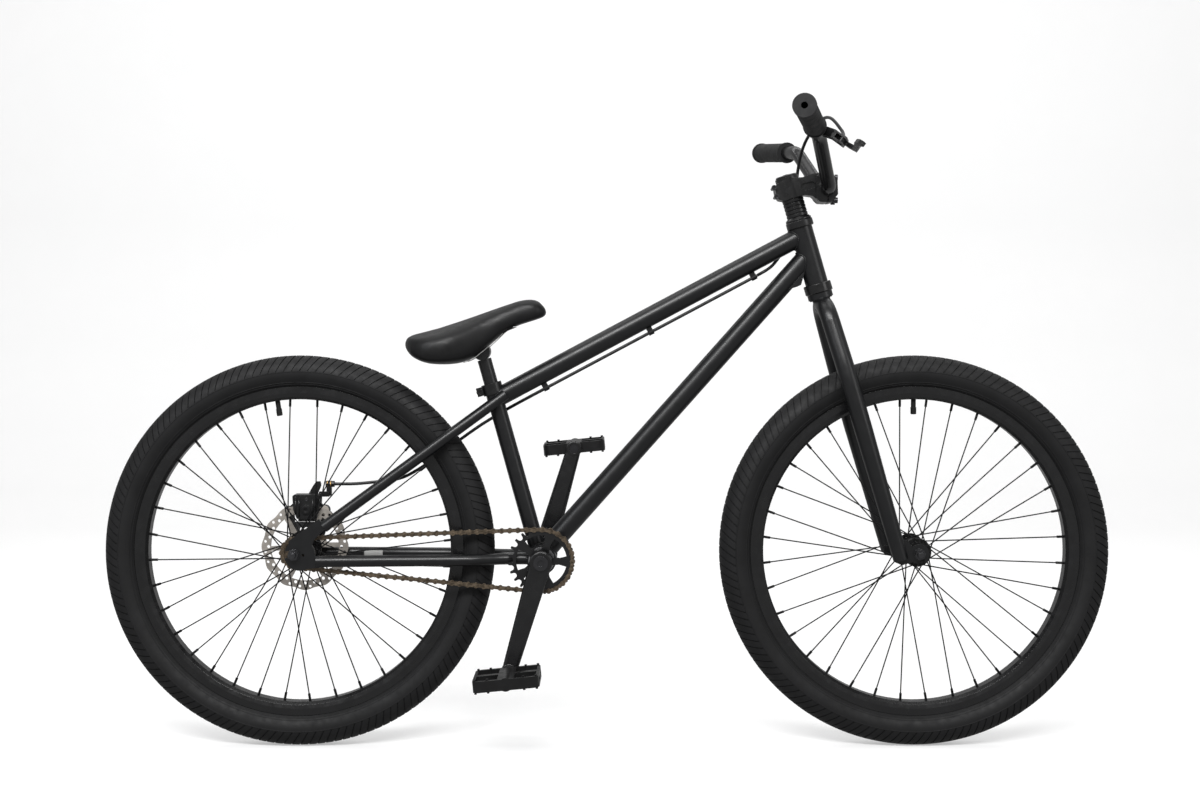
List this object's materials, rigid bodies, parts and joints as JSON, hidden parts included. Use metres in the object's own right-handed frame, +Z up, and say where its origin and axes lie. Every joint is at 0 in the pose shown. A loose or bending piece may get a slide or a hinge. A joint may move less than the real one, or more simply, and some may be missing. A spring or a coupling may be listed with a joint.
{
  "type": "bmx bike",
  "caption": "BMX cruiser bicycle: steel frame and fork, spoked wheels with wide tyres, single-speed chain drive, rear disc brake, padded seat and raised bars.",
  "frame": {"origin": "on the ground, midway between the axles on the middle plane", "axes": "+X forward, +Y to the rider's left, +Z up"},
  "size_m": [1.5868, 0.6942, 0.987],
  "materials": {
    "frame_paint": "satin black paint",
    "black_alloy": "black anodised",
    "bar_black": "black paint",
    "grey_alloy": "plain, tumbled",
    "bearing_steel": "polished",
    "dark_steel": "black oxide",
    "bright_steel": "zinc plated",
    "black_plastic": "moulded",
    "housing_plastic": "smooth sleeve",
    "chain_brown": "brown plated, oiled",
    "saddle_cover": "smooth leatherette",
    "grip_rubber": "fine moulded texture",
    "pad_compound": "sintered",
    "spoke_black": "black coated",
    "rim_black": "black anodised, satin",
    "tyre_black": "matte",
    "tube_rubber": "butyl",
    "rotor_steel": "brushed",
    "crank_black": "gloss black",
    "pedal_black": "moulded, satin"
  },
  "bodies": {
    "frame": {"head_tube": "frame_paint", "top_tube": "frame_paint", "down_tube": "frame_paint", "seat_tube": "frame_paint", "bottom_bracket_shell": "frame_paint", "chainstays": "frame_paint", "seatstays": "frame_paint", "rear_dropouts": "frame_paint", "head_gusset": "frame_paint", "headset_cups": "black_alloy", "headset_bearings": "bearing_steel", "bottom_bracket_bearings": "bearing_steel", "seat_clamp": "black_alloy", "brake_bracket": "grey_alloy", "brake_calliper": "black_alloy", "calliper_bolts": "dark_steel", "cable_clips": "black_plastic", "brake_housing": "housing_plastic", "rear_axle": "bright_steel", "rear_axle_nuts": "bright_steel", "chain": "chain_brown"},
    "seat_mast": {"seat_post": "black_alloy"},
    "saddle": {"saddle_base": "black_plastic", "saddle_pad": "saddle_cover", "saddle_bolt": "dark_steel"},
    "steering": {"fork_steerer": "frame_paint", "fork_legs": "frame_paint", "headset_spacers": "black_alloy", "stem": "black_alloy", "stem_faceplate": "black_alloy", "stem_bolts": "dark_steel", "headset_top_cap": "black_alloy", "handlebar": "bar_black", "grips": "grip_rubber", "lever_clamp": "black_alloy", "front_axle": "bright_steel", "front_axle_nuts": "bright_steel", "front_brake_housing": "housing_plastic"},
    "lever": {"brake_lever": "black_alloy"},
    "arm": {"calliper_arm": "black_alloy"},
    "pad": {"moving_brake_pad": "pad_compound"},
    "front_wheel": {"front_hub": "black_alloy", "front_spokes": "spoke_black", "front_rim": "rim_black", "front_tyre": "tyre_black", "front_inner_tube": "tube_rubber"},
    "rear_wheel": {"rear_hub": "black_alloy", "rear_spokes": "spoke_black", "rear_rim": "rim_black", "rear_tyre": "tyre_black", "rear_inner_tube": "tube_rubber", "disc_rotor": "rotor_steel", "rotor_bolts": "dark_steel"},
    "driver": {"rear_cog": "chain_brown"},
    "crankset": {"crank_spindle": "bright_steel", "crank_arms": "crank_black", "sprocket": "crank_black", "pedal_axles": "dark_steel"},
    "pedal_right": {"right_pedal": "pedal_black"},
    "pedal_left": {"left_pedal": "pedal_black"}
  },
  "joints": [
    {"name": "steering", "type": "hinge", "parent": "frame", "child": "steering", "pos_m": [0.3165, 0, 0.7853], "axis": [-0.2756, 0, 0.9613], "range_deg": [-90, 90], "deforming": ["front_brake_housing"]},
    {"name": "seat_height", "type": "slide", "parent": "frame", "child": "seat_mast", "axis": [-0.2708, 0, 0.9626], "range_m": [-0.02, 0.05]},
    {"name": "saddle_tilt", "type": "hinge", "parent": "seat_mast", "child": "saddle", "pos_m": [-0.19786, 0, 0.62185], "axis": [0, 1, 0], "range_deg": [-8, 8]},
    {"name": "brake_lever", "type": "hinge", "parent": "steering", "child": "lever", "pos_m": [0.34519, -0.20551, 0.93553], "axis": [-0.6008, 0.0575, -0.7973], "range_deg": [0, 20], "stiffness_Nm_per_rad": 1.5, "springref_deg": -5.73},
    {"name": "calliper_arm", "type": "hinge", "parent": "frame", "child": "arm", "pos_m": [-0.4825, 0.06, 0.3765], "axis": [0, 1, 0], "range_deg": [0, 14.1]},
    {"name": "brake_pad", "type": "slide", "parent": "frame", "child": "pad", "axis": [0, -1, 0], "range_m": [0, 0.0005]},
    {"name": "front_wheel_spin", "type": "hinge", "parent": "steering", "child": "front_wheel", "pos_m": [0.4855, 0, 0.308], "axis": [0, 1, 0], "continuous": true},
    {"name": "rear_wheel_spin", "type": "hinge", "parent": "frame", "child": "rear_wheel", "pos_m": [-0.4855, 0, 0.308], "axis": [0, 1, 0], "continuous": true},
    {"name": "crank_spin", "type": "hinge", "parent": "frame", "child": "crankset", "pos_m": [-0.1024, 0, 0.296], "axis": [0, 1, 0], "continuous": true, "deforming": ["chain"]},
    {"name": "cog_spin", "type": "hinge", "parent": "frame", "child": "driver", "pos_m": [-0.4855, 0, 0.308], "axis": [0, 1, 0], "continuous": true},
    {"name": "right_pedal_spin", "type": "hinge", "parent": "crankset", "child": "pedal_right", "pos_m": [-0.15122, -0.12, 0.12795], "axis": [0, 1, 0], "continuous": true},
    {"name": "left_pedal_spin", "type": "hinge", "parent": "crankset", "child": "pedal_left", "pos_m": [-0.05358, 0.12, 0.46405], "axis": [0, 1, 0], "continuous": true}
  ],
  "couplings": [
    {"joint": "cog_spin", "follows": "crank_spin", "ratio": 2.1818},
    {"joint": "calliper_arm", "follows": "brake_lever", "ratio": 0.7},
    {"joint": "brake_pad", "follows": "brake_lever", "m_per_rad": 0.00143}
  ]
}
